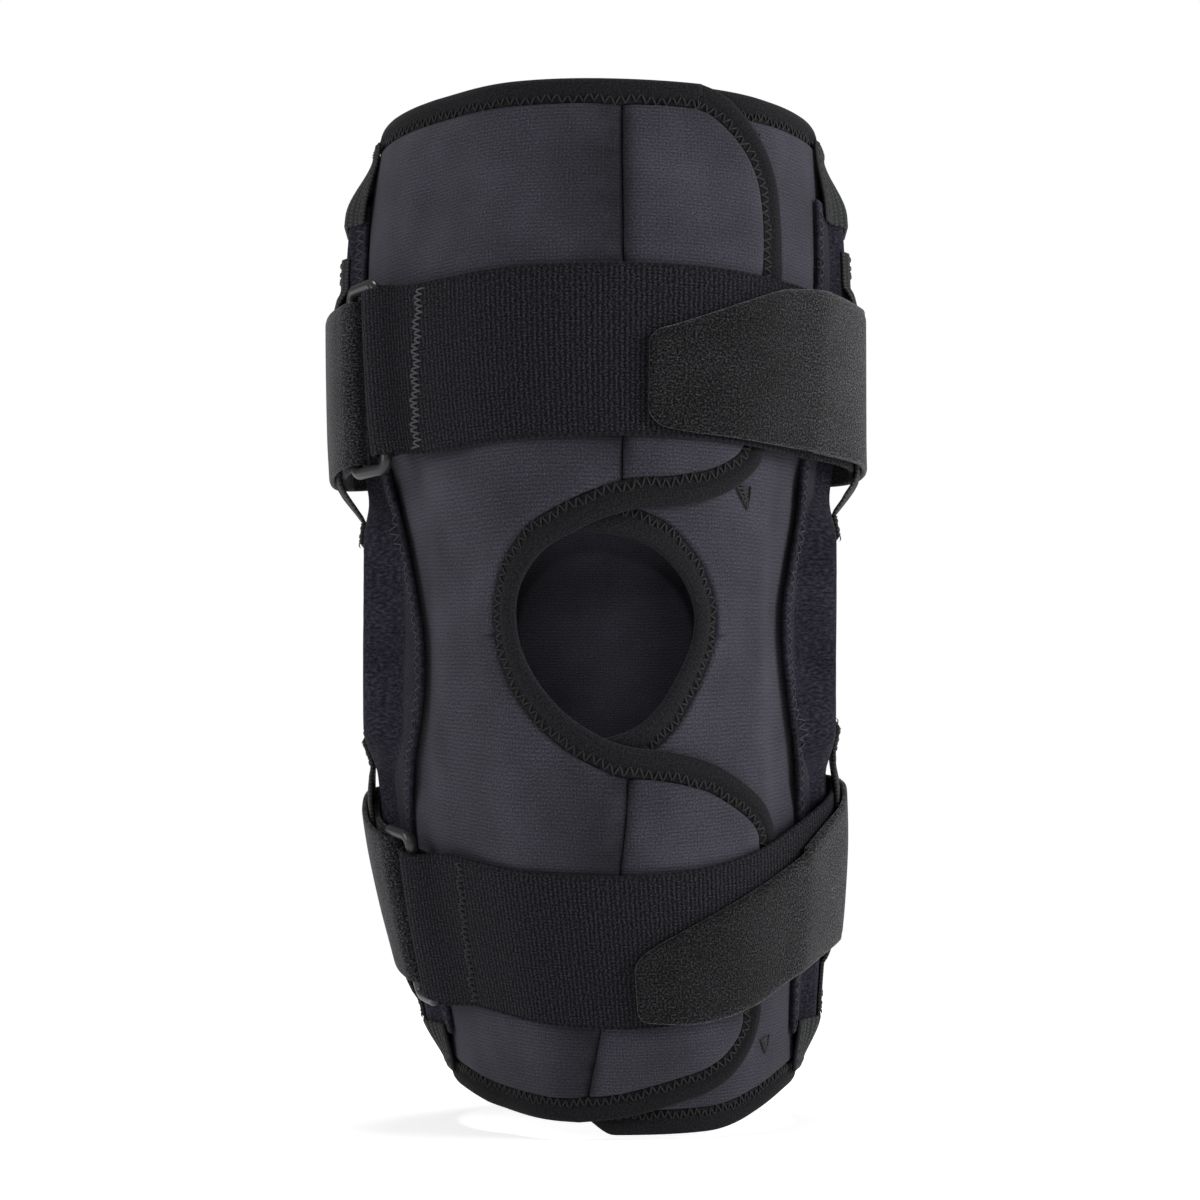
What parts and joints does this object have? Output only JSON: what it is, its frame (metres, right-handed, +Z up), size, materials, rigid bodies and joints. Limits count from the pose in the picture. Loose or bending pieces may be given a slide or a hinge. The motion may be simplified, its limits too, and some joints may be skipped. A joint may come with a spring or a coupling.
{
  "type": "hinged knee brace",
  "caption": "Wrap-around neoprene knee brace with open patella, geared side hinges in pockets, and thigh and calf straps with rings and hook tabs.",
  "frame": {"origin": "middle of the overall box; the knee centre, midway between the hinge pivots, lies at (0.0013, -0.0084, -0.0065) m", "axes": "+Z up along the leg towards the thigh, -Y out of the patella opening (front), +X to the viewer's right facing the front; every hinge pivot lies along X"},
  "size_m": [0.1632, 0.1584, 0.3066],
  "materials": {
    "neoprene": "matt ribbed jersey over foam",
    "plush": "brushed loop pile",
    "binding": "matt stretch tape",
    "elastic": "ribbed loop-faced elastic",
    "strap": "soft brushed strap",
    "tab": "fuzzy hook-and-loop tab",
    "webbing": "woven webbing",
    "ring": "satin moulded plastic",
    "aluminium": "satin",
    "rivet": "polished",
    "pad": "soft foam"
  },
  "bodies": {
    "thigh": {"front_panel_left_thigh": "neoprene", "front_panel_right_thigh": "neoprene", "back_panel_thigh": "neoprene", "closure_flap_upper": "neoprene", "flap_binding_upper": "binding", "top_binding_left": "binding", "top_binding_right": "binding", "hinge_pocket_left_thigh": "plush", "hinge_pocket_right_thigh": "plush", "pocket_cap_left_upper": "webbing", "pocket_cap_right_upper": "webbing", "strap_keeper_left_upper": "webbing", "strap_keeper_right_upper": "webbing", "hinge_arm_left_upper": "aluminium", "hinge_arm_right_upper": "aluminium", "front_elastic_upper": "elastic", "strap_ring_upper": "ring", "wrap_strap_upper": "strap"},
    "hinge_link_left": {"hinge_plate_left_inner": "aluminium", "hinge_plate_left_outer": "aluminium", "hinge_rivet_left_upper": "rivet", "hinge_rivet_left_lower": "rivet", "condyle_pad_left": "pad", "hinge_pocket_left_knee": "plush", "front_panel_left_knee": "neoprene", "patella_binding_left": "binding", "back_panel_knee": "neoprene"},
    "hinge_link_right": {"hinge_plate_right_inner": "aluminium", "hinge_plate_right_outer": "aluminium", "hinge_rivet_right_upper": "rivet", "hinge_rivet_right_lower": "rivet", "condyle_pad_right": "pad", "hinge_pocket_right_knee": "plush", "front_panel_right_knee": "neoprene", "patella_binding_right": "binding"},
    "shank": {"front_panel_left_shank": "neoprene", "front_panel_right_shank": "neoprene", "back_panel_shank": "neoprene", "closure_flap_lower": "neoprene", "flap_binding_lower": "binding", "bottom_binding_left": "binding", "bottom_binding_right": "binding", "hinge_pocket_left_shank": "plush", "hinge_pocket_right_shank": "plush", "pocket_cap_left_lower": "webbing", "pocket_cap_right_lower": "webbing", "strap_keeper_left_lower": "webbing", "strap_keeper_right_lower": "webbing", "hinge_arm_left_lower": "aluminium", "hinge_arm_right_lower": "aluminium", "front_elastic_lower": "elastic", "strap_ring_lower": "ring", "wrap_strap_lower": "strap"},
    "tab_upper": {"hook_tab_upper": "tab"},
    "tab_lower": {"hook_tab_lower": "tab"}
  },
  "joints": [
    {"name": "left_upper_pivot", "type": "hinge", "parent": "thigh", "child": "hinge_link_left", "pos_m": [-0.06363, -0.00844, 0.00252], "axis": [1, 0, 0], "range_deg": [-7, 33], "deforming": ["front_panel_left_knee", "back_panel_knee", "hinge_pocket_left_knee", "patella_binding_left"]},
    {"name": "left_lower_pivot", "type": "hinge", "parent": "hinge_link_left", "child": "shank", "pos_m": [-0.06363, -0.00844, -0.01548], "axis": [1, 0, 0], "range_deg": [-7, 33]},
    {"name": "right_upper_pivot", "type": "hinge", "parent": "thigh", "child": "hinge_link_right", "pos_m": [0.06617, -0.00844, 0.00252], "axis": [1, 0, 0], "range_deg": [-7, 33], "deforming": ["front_panel_right_knee", "hinge_pocket_right_knee", "patella_binding_right"]},
    {"name": "upper_tab_peel", "type": "hinge", "parent": "thigh", "child": "tab_upper", "pos_m": [0.06018, -0.0491, 0.07088], "axis": [0.0652, 0.0808, 0.9946], "range_deg": [0, 110]},
    {"name": "lower_tab_peel", "type": "hinge", "parent": "shank", "child": "tab_lower", "pos_m": [0.05742, -0.04115, -0.09128], "axis": [0.0308, -0.193, 0.9807], "range_deg": [0, 110]}
  ],
  "couplings": [
    {"joint": "left_lower_pivot", "follows": "left_upper_pivot", "ratio": 1},
    {"joint": "right_upper_pivot", "follows": "left_upper_pivot", "ratio": 1}
  ]
}
